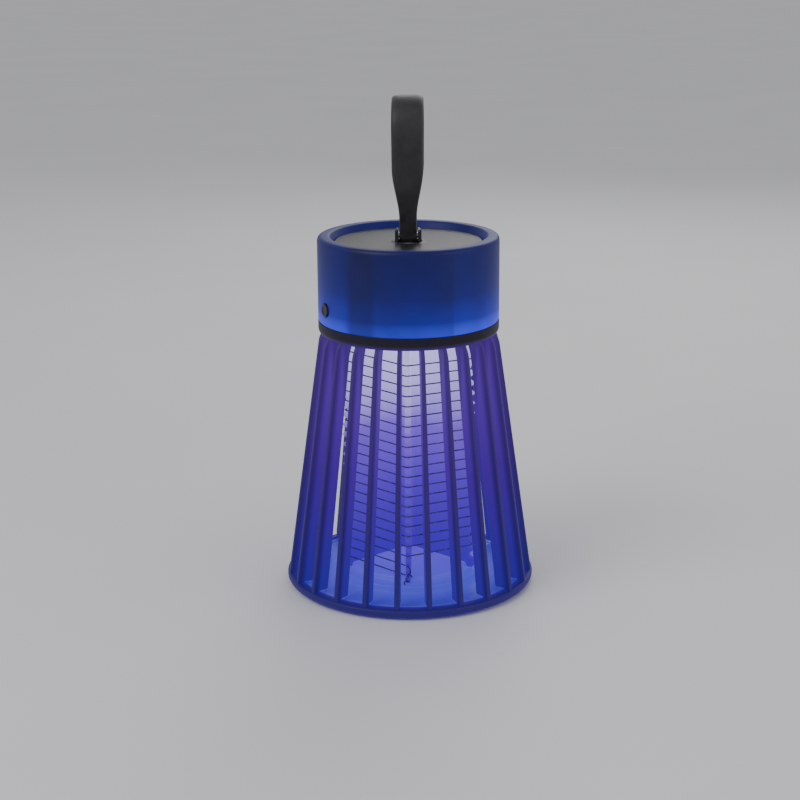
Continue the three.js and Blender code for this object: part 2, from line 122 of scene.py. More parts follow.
def place_camera():
    camera = bpy.data.objects.new("camera", bpy.data.cameras.new("camera"))
    bpy.context.scene.collection.objects.link(camera)
    camera.data.sensor_width = 36
    camera.data.lens = 81.1
    camera.data.clip_start = 0.01
    azimuth = math.radians(CAMERA_AZIMUTH)
    place = Vector((math.sin(azimuth), -math.cos(azimuth), 0)) * CAMERA_DISTANCE
    place.z = CAMERA_HEIGHT
    turn = Matrix.Rotation(azimuth + math.radians(CAMERA_YAW), 4, "Z")
    tip = Matrix.Rotation(math.radians(90 - CAMERA_PITCH), 4, "X")
    roll = Matrix.Rotation(math.radians(CAMERA_ROLL), 4, "Z")
    camera.matrix_world = Matrix.Translation(place * MM) @ turn @ tip @ roll
    bpy.context.scene.camera = camera


# ---- Shader helpers --------------------------------------------------------------------------
class Finish:
    """A Principled material with short calls for the nodes that feed it."""

    def __init__(self, name, color, roughness, metallic=0.0, **sockets):
        self.material = bpy.data.materials.new(name)
        self.material.use_nodes = True
        self.tree = self.material.node_tree
        self.shader = self.tree.nodes["Principled BSDF"]
        self.shader.inputs["Base Color"].default_value = (*color, 1)
        self.shader.inputs["Roughness"].default_value = roughness
        self.shader.inputs["Metallic"].default_value = metallic
        for socket, value in sockets.items():
            self.shader.inputs[socket.replace("_", " ")].default_value = value
        self.place = self.add("ShaderNodeTexCoord").outputs["Object"]

    def add(self, kind, inputs=None, **settings):
        node = self.tree.nodes.new(kind)
        for key, value in settings.items():
            setattr(node, key, value)
        for key, value in (inputs or {}).items():
            self.feed(node.inputs[key], value)
        return node

    def feed(self, socket, value):
        if isinstance(value, bpy.types.NodeSocket):
            self.tree.links.new(value, socket)
        else:
            socket.default_value = value

    def link(self, name, value):
        self.feed(self.shader.inputs[name], value)

    def math(self, operation, a, b=0.0, clamp=False):
        node = self.add("ShaderNodeMath", {0: a, 1: b}, operation=operation, use_clamp=clamp)
        return node.outputs[0]

    def noise(self, scale, detail=3.0, rough=0.5, place=None):
        inputs = {"Vector": place or self.place, "Scale": scale, "Detail": detail, "Roughness": rough}
        return self.add("ShaderNodeTexNoise", inputs).outputs["Fac"]

    def stretched(self, scale):
        """The object's coordinates stretched by a factor along each axis."""
        inputs = {"Vector": self.place, "Scale": scale}
        return self.add("ShaderNodeMapping", inputs).outputs["Vector"]

    def between(self, value, low, high, to_low=0.0, to_high=1.0):
        """Maps low to high onto another range, eased and clamped."""
        inputs = {"Value": value, "From Min": low, "From Max": high, "To Min": to_low, "To Max": to_high}
        return self.add("ShaderNodeMapRange", inputs, interpolation_type="SMOOTHSTEP").outputs[0]

    def ramp(self, value, stops):
        node = self.add("ShaderNodeValToRGB", {"Fac": value})
        elements = node.color_ramp.elements
        for i, (position, color) in enumerate(stops):
            element = elements[i] if i < 2 else elements.new(position)
            element.position = position
            element.color = (*color, 1)
        return node.outputs["Color"]

    def mix(self, factor, a, b):
        node = self.add("ShaderNodeMix", data_type="RGBA")
        self.feed(node.inputs[0], factor)
        self.feed(node.inputs[6], a if isinstance(a, bpy.types.NodeSocket) else (*a, 1))
        self.feed(node.inputs[7], b if isinstance(b, bpy.types.NodeSocket) else (*b, 1))
        return node.outputs[2]

    def axes(self):
        """The x, y and z coordinates, and the distance from the Z axis, in metres."""
        split = self.add("ShaderNodeSeparateXYZ", {0: self.place}).outputs
        x, y, z = split[0], split[1], split[2]
        squares = self.math("ADD", self.math("MULTIPLY", x, x), self.math("MULTIPLY", y, y))
        return x, y, z, self.math("SQRT", squares)

    def bump(self, height, strength, distance):
        inputs = {"Height": height, "Strength": strength, "Distance": distance}
        self.link("Normal", self.add("ShaderNodeBump", inputs).outputs["Normal"])

    def glow(self, color, strength):
        self.link("Emission Color", color)
        self.link("Emission Strength", strength)


def varied(finish, color, spread, scale):
    """Links a base colour that wanders a little about a colour."""
    dark = tuple(c * (1 - spread) for c in color)
    light = tuple(min(1.0, c * (1 + spread)) for c in color)
    finish.link("Base Color", finish.ramp(finish.noise(scale), [(0.3, dark), (0.7, light)]))


# ---- Materials -------------------------------------------------------------------------------
# Colours of painted glow: the lamps' violet and blue light, painted on the plastics as emission.
VIOLET_TOP = (0.62, 0.58, 1.0)
VIOLET_MID = (0.2, 0.09, 0.72)
VIOLET_LOW = (0.05, 0.008, 0.5)
BLUE_FLOOR = (0.06, 0.06, 0.72)
BLUE_SEAM = (0.03, 0.05, 0.8)
BLUE_HOUSING = (0.002, 0.003, 0.14)


def skirt_plastic():
    """Dark moulded plastic with a painted violet glow on its inner sides for the lamp's light behind them,
    brighter higher up, and a painted glow along the collar's lower edge.
    """
    f = Finish("skirt_plastic", (0.007, 0.006, 0.018), 0.5, Specular_IOR_Level=0.3)
    varied(f, (0.007, 0.006, 0.018), 0.25, 60)
    grain = f.noise(1600, 2)
    f.link("Roughness", f.between(grain, 0.2, 0.8, 0.44, 0.58))
    f.bump(grain, 0.12, 0.0002)
    _, _, z, radius = f.axes()
    slope = (FIN_HEAD[1] - FIN_FOOT[1]) / (FIN_HEAD[0] - FIN_FOOT[0])
    outer = f.math("ADD", f.math("MULTIPLY", z, slope), (FIN_FOOT[1] - slope * FIN_FOOT[0]) * MM)
    depth = f.math("SUBTRACT", outer, radius)
    # Painted glow on the fins' inner sides: none at their outer edges, full from 4.5 mm in.
    inside = f.between(depth, 0.8 * MM, 4.5 * MM)
    # Painted glow colour by height: deeper blue-violet below, paler violet above.
    color = f.ramp(
        f.between(z, 0, 0.13),
        [(0.0, (0.04, 0.015, 0.42)), (0.45, (0.08, 0.015, 0.42)), (1.0, (0.13, 0.04, 0.5))],
    )
    # Painted glow along the collar's lower edge.
    painted_lip_glow = f.math("MULTIPLY", f.between(z, 0.124, 0.1268, 1.0, 0.0), f.between(radius, 0.038, 0.041))
    f.glow(color, f.math("ADD", f.math("MULTIPLY", inside, 0.38), f.math("MULTIPLY", painted_lip_glow, 0.3)))
    return f.material


def cage_plastic():
    """White moulding, painted as lit from above: near white at the top, deep violet below."""
    f = Finish("cage_plastic", (0.2, 0.15, 0.4), 0.45, Specular_IOR_Level=0.3)
    _, _, z, _ = f.axes()
    # Noise that makes the painted light uneven, in glow and base colour alike.
    uneven_glow = f.noise(35, 2)
    height = f.math("ADD", z, f.math("MULTIPLY", f.math("SUBTRACT", uneven_glow, 0.5), 0.012))
    share = f.between(height, 0.0, 0.124)
    color = f.ramp(
        share, [(0.0, VIOLET_LOW), (0.35, (0.1, 0.03, 0.62)), (0.7, VIOLET_MID), (1.0, VIOLET_TOP)]
    )
    # Base colour darker below as painted shade, pale at the top.
    base = f.ramp(share, [(0.0, (0.02, 0.008, 0.1)), (0.6, (0.08, 0.05, 0.25)), (1.0, (0.3, 0.27, 0.45))])
    f.link("Base Color", base)
    f.glow(color, 0.85)
    f.bump(f.noise(900, 2), 0.08, 0.0002)
    return f.material


def tray_plastic():
    """White tray with faint scuffs, its upper faces painted with blue-violet glow, dimmer towards its rim,
    over a darkened base colour.
    """
    f = Finish("tray_plastic", (0.1, 0.1, 0.3), 0.4, Specular_IOR_Level=0.3)
    _, _, z, radius = f.axes()
    # Painted glow, dimmer towards the rim.
    share = f.between(radius, 0.01, 0.056)
    # Glow is painted on faces higher than 3 to 4.6 mm, and their base colour is darkened; the lower faces
    # stay white.
    lit = f.between(z, 0.003, 0.0046)
    color = f.ramp(share, [(0.0, (0.14, 0.08, 0.85)), (0.55, BLUE_FLOOR), (1.0, (0.03, 0.03, 0.45))])
    scuffs = f.noise(260, 6, 0.65)
    f.link("Roughness", f.between(scuffs, 0.35, 0.7, 0.34, 0.5))
    base_under_painted_glow = f.ramp(lit, [(0.0, (0.7, 0.7, 0.74)), (1.0, (0.06, 0.06, 0.25))])
    f.link("Base Color", base_under_painted_glow)
    f.glow(color, f.math("MULTIPLY", lit, 0.75))
    f.bump(scuffs, 0.06, 0.0003)
    return f.material


def frosted_plastic():
    """Frosted white lamp housing with a dark blue base colour as painted shade, painted glow bright along the
    seam and fading upwards, and soft painted shadows of what is inside.
    """
    f = Finish("frosted_plastic", (0.003, 0.004, 0.045), 0.45, Specular_IOR_Level=0.3)
    x, y, z, _ = f.axes()
    # Painted glow: bright at the seam, fading upwards.
    rise = f.between(z, SEAM_Z * MM, (HOUSING_TOP - 2) * MM)
    color = f.ramp(
        rise,
        [(0.0, BLUE_SEAM), (0.08, (0.006, 0.012, 0.34)), (0.45, BLUE_HOUSING), (1.0, (0.001, 0.002, 0.08))],
    )
    # Painted shadows of the coil and of the board inside, on the front only.
    front = f.between(y, -0.012, 0.006, 1.0, 0.0)
    left_edge = f.between(x, -0.029, -0.025)
    right_edge = f.between(x, -0.017, -0.013, 1.0, 0.0)
    coil_shadow = f.math("MULTIPLY", left_edge, right_edge)
    board = f.math("MULTIPLY", f.between(x, -0.03, -0.024), f.between(x, 0.0205, 0.0225, 1.0, 0.0))
    shade = f.math("ADD", f.math("MULTIPLY", coil_shadow, 0.3), f.math("MULTIPLY", board, 0.28))
    open_light = f.math("SUBTRACT", 1.0, f.math("MULTIPLY", shade, front))
    # Patchy painted glow.
    cloud = f.between(f.noise(50, 3), 0.25, 0.75, 0.85, 1.15)
    f.glow(color, f.math("MULTIPLY", f.math("MULTIPLY", open_light, cloud), 0.9))
    varied(f, (0.003, 0.004, 0.045), 0.2, 90)
    f.bump(f.noise(2600, 3), 0.15, 0.0001)
    return f.material


def black_plastic():
    f = Finish("black_plastic", (0.012, 0.012, 0.014), 0.4)
    varied(f, (0.013, 0.013, 0.016), 0.3, 70)
    grain = f.noise(2200, 3, 0.6)
    f.link("Roughness", f.between(grain, 0.2, 0.8, 0.34, 0.5))
    f.bump(grain, 0.25, 0.00015)
    return f.material


def strap_rubber():
    """Soft black silicone with a dusty bloom."""
    f = Finish("strap_rubber", (0.012, 0.012, 0.014), 0.55, Sheen_Weight=0.25, Sheen_Roughness=0.4)
    dust = f.noise(140, 5, 0.65)
    f.link("Base Color", f.ramp(dust, [(0.35, (0.009, 0.009, 0.011)), (0.8, (0.03, 0.03, 0.034))]))
    f.link("Roughness", f.between(dust, 0.3, 0.8, 0.46, 0.68))
    f.bump(f.noise(1500, 4), 0.15, 0.0002)
    return f.material


def foot_rubber():
    f = Finish("foot_rubber", (0.016, 0.016, 0.017), 0.8)
    varied(f, (0.017, 0.017, 0.018), 0.35, 300)
    f.bump(f.noise(1300, 4), 0.3, 0.0003)
    return f.material


def grid_wire():
    """Drawn steel wire, tinted violet as a painted reflection of the lamps' light, dark against the lit
    vanes, and darker still where arcs have marked it.
    """
    f = Finish("grid_wire", (0.12, 0.11, 0.2), 0.3, 1.0)
    marks = f.noise(420, 4, 0.6)
    f.link("Base Color", f.ramp(marks, [(0.3, (0.05, 0.045, 0.1)), (0.7, (0.16, 0.14, 0.28))]))
    f.link("Roughness", f.between(marks, 0.3, 0.7, 0.42, 0.22))
    f.bump(f.noise(3000, 2), 0.1, 0.00005)
    return f.material


def led_lens():
    f = Finish("led_lens", (0.6, 0.55, 1.0), 0.12, IOR=1.5, Coat_Weight=0.6)
    _, _, z, _ = f.axes()
    low = (VANE_TOP - 3) * MM
    share = f.between(z, low, low + 0.006)
    f.glow(f.ramp(share, [(0.0, (0.75, 0.7, 1.0)), (1.0, (0.35, 0.22, 1.0))]), 4.0)
    f.bump(f.noise(700, 1), 0.03, 0.0001)
    return f.material


def circuit_board(name, mask, copper):
    """Solder mask over copper tracks, with tinned pads."""
    f = Finish(name, mask, 0.35, Coat_Weight=0.4)
    tracks = f.add("ShaderNodeTexBrick", {"Vector": f.place, "Scale": 260.0, "Mortar Size": 0.05})
    pads = f.add("ShaderNodeTexVoronoi", {"Vector": f.place, "Scale": 420.0}).outputs["Distance"]
    colored = f.mix(tracks.outputs["Fac"], mask, copper)
    f.link("Base Color", f.mix(f.between(pads, 0.16, 0.2, 1.0, 0.0), colored, (0.6, 0.6, 0.62)))
    f.bump(tracks.outputs["Fac"], 0.3, 0.0001)
    return f.material


def steel(name, color, roughness):
    f = Finish(name, color, roughness, 1.0)
    brushed = f.noise(300, 4, 0.6, f.stretched((1, 1, 14)))
    f.link("Roughness", f.between(brushed, 0.3, 0.7, roughness - 0.07, roughness + 0.1))
    varied(f, color, 0.12, 120)
    f.bump(brushed, 0.1, 0.0001)
    return f.material


def cell_sleeve():
    """Blue shrink sleeve with faint wrinkles round the cell."""
    f = Finish("cell_sleeve", (0.02, 0.12, 0.42), 0.28, Coat_Weight=0.3)
    wrinkles = f.noise(90, 5, 0.6, f.stretched((0.2, 1, 1)))
    varied(f, (0.02, 0.12, 0.42), 0.15, 50)
    f.bump(wrinkles, 0.25, 0.0004)
    return f.material


def winding():
    """Yellow tape over fine turns of wire."""
    f = Finish("winding", (0.6, 0.38, 0.05), 0.4)
    wave = f.add("ShaderNodeTexWave", {"Vector": f.place, "Scale": 500.0}, bands_direction="Z")
    f.link("Base Color", f.mix(wave.outputs["Fac"], (0.5, 0.28, 0.03), (0.72, 0.5, 0.08)))
    f.bump(wave.outputs["Fac"], 0.35, 0.0002)
    return f.material


def capacitor_body():
    f = Finish("capacitor_body", (0.4, 0.06, 0.035), 0.25, Coat_Weight=0.5)
    varied(f, (0.4, 0.06, 0.035), 0.2, 150)
    f.bump(f.noise(500, 3), 0.2, 0.0003)
    return f.material


def plain_white():
    """White moulding that the lamps don't reach."""
    f = Finish("plain_white", (0.78, 0.78, 0.8), 0.4)
    varied(f, (0.74, 0.74, 0.77), 0.06, 50)
    f.bump(f.noise(1000, 3), 0.1, 0.0002)
    return f.material


def floor_paint():
    f = Finish("floor_paint", (0.8, 0.8, 0.8), 0.6)
    varied(f, (0.72, 0.72, 0.73), 0.02, 6)
    return f.material


# ---- Mesh helpers ----------------------------------------------------------------------------
def link_mesh(name, mesh, material, slot, body, *replaced):
    """Puts a mesh in the scene as a piece that rides on a body."""
    mesh.materials.clear()
    mesh.materials.append(material)
    piece = bpy.data.objects.new(name, mesh)
    bpy.context.scene.collection.objects.link(piece)
    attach(piece, body)
    if replaced:
        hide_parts(*replaced)
    return piece


def finished(bm, name, sharp_angle=35):
    """A bmesh in millimetres as a smooth-shaded mesh in metres, its faces pointing out."""
    bmesh.ops.remove_doubles(bm, verts=bm.verts, dist=1e-4)
    bmesh.ops.recalc_face_normals(bm, faces=bm.faces)
    bmesh.ops.scale(bm, vec=(MM, MM, MM), verts=bm.verts)
    mesh = bpy.data.meshes.new(name)
    bm.to_mesh(mesh)
    bm.free()
    mesh.shade_smooth()
    mesh.set_sharp_from_angle(angle=math.radians(sharp_angle))
    return mesh


def rounded(points, radius, steps=4, closed=True):
    """A polyline with its corners rounded. A corner may give its own radius as a third number."""
    made = []
    count = len(points)
    for i, corner in enumerate(points):
        own = corner[2] if len(corner) > 2 else radius
        here = Vector(corner[:2])
        if own <= 0 or (not closed and i in (0, count - 1)):
            made.append(here)
            continue
        before = Vector(points[i - 1][:2]) - here
        after = Vector(points[(i + 1) % count][:2]) - here
        reach = min(own, before.length * 0.45, after.length * 0.45)
        start = here + before.normalized() * reach
        end = here + after.normalized() * reach
        for step in range(steps + 1):
            t = step / steps
            made.append(start.lerp(here, t).lerp(here.lerp(end, t), t))
    return made


def revolve(bm, profile, sides=ROUND, closed=True):
    """Turns a (radius, z) profile about the Z axis. An open profile starts and ends on the axis."""
    rings = []
    for r, z in profile:
        if r < 1e-6:
            rings.append([bm.verts.new((0, 0, z))])
            continue
        angles = [2 * math.pi * i / sides for i in range(sides)]
        rings.append([bm.verts.new((r * math.cos(a), r * math.sin(a), z)) for a in angles])
    pairs = list(zip(rings, rings[1:] + rings[:1])) if closed else list(zip(rings, rings[1:]))
    for low, high in pairs:
        for i in range(sides):
            j = (i + 1) % sides
            corners = [low[i % len(low)], low[j % len(low)], high[j % len(high)], high[i % len(high)]]
            corners = list(dict.fromkeys(corners))
            if len(corners) > 2:
                bm.faces.new(corners)


def plate(outline, thickness_at, bevel, segments=3):
    """A slab drawn in X and Z, thickened along Y by a rule of its height, with bevelled edges."""
    part = bmesh.new()
    sides = []
    for way in (-0.5, 0.5):
        sides.append([part.verts.new((x, way * thickness_at(z), z)) for x, z in outline])
    count = len(outline)
    part.faces.new(sides[0])
    part.faces.new(list(reversed(sides[1])))
    for i in range(count):
        j = (i + 1) % count
        part.faces.new([sides[0][i], sides[1][i], sides[1][j], sides[0][j]])
    bmesh.ops.recalc_face_normals(part, faces=part.faces)
    rims = [e for e in part.edges if abs(e.verts[0].co.y - e.verts[1].co.y) < 0.5 * thickness_at(0)]
    bmesh.ops.bevel(part, geom=rims, offset=bevel, segments=segments, affect="EDGES", profile=0.5)
    return part


def stamp(bm, part, matrix):
    """Adds a turned or moved copy of one bmesh to another."""
    copied = {v: bm.verts.new(matrix @ v.co) for v in part.verts}
    for face in part.faces:
        bm.faces.new([copied[v] for v in face.verts])


def from_front(degrees):
    """The turn that brings +X to an angle measured from the front, towards +X."""
    return Matrix.Rotation(math.radians(degrees - 90), 4, "Z")


def cut(piece, cutters):
    """Cuts bmesh cutters, in millimetres, out of a piece for good."""
    for bm in cutters:
        mesh = finished(bm, "cutter")
        tool = bpy.data.objects.new("cutter", mesh)
        bpy.context.scene.collection.objects.link(tool)
        modifier = piece.modifiers.new("cut", "BOOLEAN")
        modifier.operation = "DIFFERENCE"
        modifier.solver = "EXACT"
        modifier.object = tool
        bpy.context.view_layer.update()
        graph = bpy.context.evaluated_depsgraph_get()
        made = bpy.data.meshes.new_from_object(piece.evaluated_get(graph))
        piece.modifiers.clear()
        piece.data = made
        bpy.data.objects.remove(tool)
    piece.data.shade_smooth()
    piece.data.set_sharp_from_angle(angle=math.radians(30))


# ---- Skirt -----------------------------------------------------------------------------------
def build_skirt(material):
    """The one-piece skirt: base ring with its bayonet groove, fins and top collar."""
    bm = bmesh.new()
    base = [
        (BASE_INNER, 0.9),
        (BASE_RADIUS - 1.4, 0.9, 2.6),
        (BASE_RADIUS - 0.05, 2.6, 1.4),
        (BASE_RADIUS - 0.05, 4.6, 0.6),
        (BASE_RADIUS - 1.2, 5.1, 0.8),
        (BASE_INNER, 5.5, 0.4),
        (BASE_INNER, GROOVE_TOP, 0.2),
        (GROOVE_RADIUS, GROOVE_TOP, 0.2),
        (GROOVE_RADIUS, GROOVE_BOTTOM, 0.2),
        (BASE_INNER, GROOVE_BOTTOM, 0.2),
    ]
    revolve(bm, rounded(base, 0.4, 6))
    collar = [
        (COLLAR_INNER, COLLAR_BOTTOM, 0.5),
        (COLLAR_RADIUS, COLLAR_BOTTOM, 3.2),
        (COLLAR_RADIUS, SEAM_Z, 0.35),
        (COLLAR_INNER, SEAM_Z, 0.4),
    ]
    revolve(bm, rounded(collar, 0.4, 8))
    fin = plate(fin_outline(), fin_thickness, 0.5)
    for i in range(FIN_COUNT):
        stamp(bm, fin, from_front(FIN_FIRST + 360 / FIN_COUNT * i))
    fin.free()
    nodes = [f"skirt_fin_{i + 1:02d}" for i in range(FIN_COUNT)]
    mesh = finished(bm, "skirt", 40)
    rings = ["skirt_base_ring", "skirt_top_collar"]
    link_mesh("skirt", mesh, material, "skirt_plastic", "housing", *rings, *nodes)


def fin_thickness(z):
    return lerp(FIN_FOOT[3], FIN_HEAD[3], (z - FIN_FOOT[0]) / (FIN_HEAD[0] - FIN_FOOT[0]))


def fin_outline():
    """A fin in radius and height, its foot sunk in the base ring and its head in the collar."""
    foot_z, foot_r, foot_depth, _ = FIN_FOOT
    head_z, head_r, head_depth, _ = FIN_HEAD
    sunk = 1.2
    outline = [
        (foot_r - foot_depth, foot_z, 0.8),
        (BASE_INNER + 0.3, foot_z, 0),
        (BASE_INNER + 0.6, foot_z - 2.4, 0),
        (foot_r - 0.9, foot_z - 2.6, 0),
        (foot_r, foot_z - 0.2, 1.0),
        (head_r + 0.35, head_z - 3.4, 3.0),
        (head_r - 2.2, head_z + sunk, 0.6),
        (head_r - head_depth - 1.4, head_z + sunk, 0),
        (head_r - head_depth - 1.2, head_z - 2, 1.0),
        (head_r - head_depth + 0.1, head_z - 6, 4.0),
    ]
    return [tuple(p) for p in rounded(outline, 0.5, 5)]


# ---- Tray ------------------------------------------------------------------------------------
def build_tray(material, rubber):
    bm = bmesh.new()
    profile = [
        (0, 13, 0),
        (4, 13, 1),
        (27, 7.9, 0.5),
        (27, 5.8, 0.5),
        (34, 5.8, 0.5),
        (34, 2.5, 0.5),
        (52.5, 2.5, 0.5),
        (52.5, 1.0, 0.3),
        (55, 1.0, 0.4),
        (55, 4.5, 0.5),
        (52.6, 4.5, 0.2),
        (52.3, 4.2, 0.2),
        (51.9, 4.2, 0.2),
        (51.6, 4.5, 0.2),
        (36, 4.5, 0.6),
        (35.5, 7.8, 0.9),
        (29, 7.8, 0.6),
        (28.5, 9.9, 0.9),
        (4, 15, 1.5),
        (0, 15, 0),
    ]
    revolve(bm, rounded(profile, 0.4, 5, closed=False), closed=False)
    for angle in LUG_ANGLES:
        lug = plate([(53.5, 2.5), (56.8, 2.5), (56.8, 3.4), (53.5, 3.4)], lambda z: 9.6, 0.25)
        stamp(bm, lug, Matrix.Rotation(math.radians(angle), 4, "Z"))
        lug.free()
    grip_outline = [(-26, 1.0), (26, 1.0), (26, 8.2), (-26, 8.2)]
    grip = plate(grip_outline, lambda z: 4.9, 0.5)
    stamp(bm, grip, Matrix.Identity(4))
    grip.free()
    link_mesh("tray", finished(bm, "tray"), material, "white_plastic", "tray", "collection_tray")
    for i in range(FOOT_COUNT):
        pad = bmesh.new()
        profile = [
            (0, 0.35, 0),
            (3.1, 0.35, 0.2),
            (3.4, 0.0, 0.2),
            (5.0, 0.0, 0.5),
            (5.0, 2.2, 0.3),
            (0, 2.2, 0),
        ]
        revolve(pad, rounded(profile, 0.3, 4, closed=False), SMALL_ROUND, closed=False)
        place = from_front((i + 0.5) * 360 / FOOT_COUNT) @ Matrix.Translation((FOOT_RING, 0, 0))
        bmesh.ops.transform(pad, matrix=place, verts=pad.verts)
        mesh = finished(pad, f"foot_pad_{i + 1}")
        link_mesh(f"foot_pad_{i + 1}", mesh, rubber, "foot_rubber", "tray", f"foot_{i + 1}")


# ---- Cage and wires --------------------------------------------------------------------------
def vane_outline(first_notch):
    """A vane in radius and height, with a rounded tooth between each two rows of wire."""
    outline = [
        (0, 15.6, 0),
        (4, 15.6, 0.8),
        (29, 10.5, 0.4),
        (29.6, VANE_BOTTOM, 0.3),
        (VANE_TIP - 0.6, VANE_BOTTOM, 0.5),
    ]
    for row in reversed(range(WIRE_ROWS)):
        z = first_notch - row * ROW_PITCH
        if z - HALF_PITCH < VANE_BOTTOM + 0.4:
            continue
        outline += [
            (VANE_TIP, z - HALF_PITCH + 0.1, 0.9),
            (VANE_NOTCH + 0.1, z - 0.6, 0.35),
            (VANE_NOTCH + 0.1, z + 0.6, 0.35),
        ]
    outline += [
        (VANE_TIP, first_notch + HALF_PITCH - 0.1, 0.9),
        (VANE_TIP - 0.6, VANE_TOP, 1.0),
        (0, VANE_TOP, 0),
    ]
    return [tuple(p) for p in rounded(outline, 0.4, 3)]


def first_notch_height(i):
    """The highest notch of a vane, counted from the front, for wires that start a vane earlier."""
    steps = 2 * (i + 1) % VANE_COUNT
    return WIRE_TOP + VANE_DROP - steps * ROW_PITCH / VANE_COUNT


def build_cage(material):
    bm = bmesh.new()
    for i in range(VANE_COUNT):
        first = first_notch_height(i)
        vane = plate(vane_outline(first), lambda z: VANE_THICKNESS - 0.02, 0.22, 2)
        stamp(bm, vane, from_front(i * 360 / VANE_COUNT))
        vane.free()
    hub = [(0, 121, 0), (8, 121, 0.8), (8, LED_TOP, 0.4), (0, LED_TOP, 0)]
    revolve(bm, rounded(hub, 0.4, 4, closed=False), SMALL_ROUND, closed=False)
    core = [(0, 16.4, 0), (3.2, 16.4, 0.6), (3.2, 123, 0.4), (0, 123, 0)]
    revolve(bm, rounded(core, 0.4, 4, closed=False), SMALL_ROUND, closed=False)
    link_mesh("cage", finished(bm, "cage", 30), material, "white_plastic", "housing", "cage_frame")


def wire_points(start_z, sides):
    """A wire's line, straight from vane to vane, from the one before the front one."""
    points = []
    for i in range(-1, sides + 1):
        a = math.radians(i * 360 / VANE_COUNT - 90)
        z = start_z - i * VANE_DROP
        corner = Vector((math.cos(a), math.sin(a), 0))
        along = Vector((-math.sin(a), math.cos(a), 0))
        for step, depth in ((-1.25, 1.1), (-0.6, 0.75), (0, 0.6), (0.6, 0.75), (1.25, 1.1)):
            if (i == -1 and step < 0) or (i == sides and step > 0):
                continue
            points.append(corner * (WIRE_RING - depth + 0.1) + along * step + Vector((0, 0, z)))
    return points


def build_wire(name, start_z, head, tail, material, node):
    curve = bpy.data.curves.new(name, "CURVE")
    curve.dimensions = "3D"
    curve.bevel_depth = WIRE_RADIUS * MM
    curve.bevel_resolution = 3
    curve.use_fill_caps = True
    points = head + wire_points(start_z, WIRE_TURNS * VANE_COUNT) + tail
    spline = curve.splines.new("POLY")
    spline.points.add(len(points) - 1)
    for target, place in zip(spline.points, points):
        target.co = (*(Vector(place) * MM), 1)
    curve.materials.append(material)
    wire = bpy.data.objects.new(name, curve)
    bpy.context.scene.collection.objects.link(wire)
    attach(wire, "housing")
    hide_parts(node)


def curl(start, turns, radius, drop, side):
    """A wire end twisted into a small open curl in front of the vane."""
    points = []
    steps = int(turns * 14)
    for i in range(steps + 1):
        t = i / steps
        a = t * turns * 2 * math.pi
        reach = radius * (1 - 0.35 * t)
        x = start[0] + side * (reach * math.sin(a) + 1.4 * t)
        y = start[1] - 1.6 - 0.6 * t
        z = start[2] - drop * t + reach * (math.cos(a) - 1)
        points.append(Vector((x, y, z)))
    return points


def build_wires(material):
    """Both leads come down the vane before the front one, and end in small curls at the front."""
    first = WIRE_TOP + VANE_DROP
    turn = Matrix.Rotation(math.radians(-360 / VANE_COUNT), 4, "Z")
    lead_a = [(0.7, -32.0, 127), (0.7, -32.1, 125.3), (0.6, -33.6, 123.2), (0.1, -33.2, first + 1.2)]
    lead_b = [
        (-0.9, -32.0, 127),
        (-0.9, -32.1, 125.3),
        (-0.9, -33.7, 123),
        (-0.8, -33.9, first),
        (-0.3, -33.4, first - ROW_PITCH + 1.4),
    ]
    top_a = [turn @ Vector(place) for place in lead_a]
    top_b = [turn @ Vector(place) for place in lead_b]
    last_a = WIRE_TOP - WIRE_TURNS * ROW_PITCH * 2
    last_b = last_a - ROW_PITCH
    end_a = curl((0.0, -31.9, last_a), 1.2, 0.9, 4.6, 1)
    end_b = curl((0.0, -31.9, last_b), 1.5, 0.9, 2.6, -1)
    build_wire("grid_wire_a", WIRE_TOP, top_a, end_a, material, "hv_wire_a")
    build_wire("grid_wire_b", WIRE_TOP - ROW_PITCH, top_b, end_b, material, "hv_wire_b")


# ---- Lamps -----------------------------------------------------------------------------------
def build_lamps(lens):
    for i in range(VANE_COUNT):
        bm = bmesh.new()
        dome = LED_TOP - LED_LENGTH + LED_RADIUS
        angles = [math.pi / 2 * step / 12 for step in range(13)]
        profile = [(LED_RADIUS * math.sin(a), dome - LED_RADIUS * math.cos(a)) for a in angles]
        rim = LED_RADIUS + 0.4
        profile += [
            (LED_RADIUS, LED_TOP - 1.1),
            (rim, LED_TOP - 1.0),
            (rim, LED_TOP - 0.1),
            (rim - 0.1, LED_TOP),
            (0, LED_TOP),
        ]
        revolve(bm, profile, 48, closed=False)
        place = from_front((i + 0.5) * 360 / VANE_COUNT) @ Matrix.Translation((LED_RING, 0, 0))
        bmesh.ops.transform(bm, matrix=place, verts=bm.verts)
        name = f"uv_lamp_{i + 1}"
        link_mesh(name, finished(bm, name), lens, "led_lens", "housing", f"uv_led_{i + 1}")


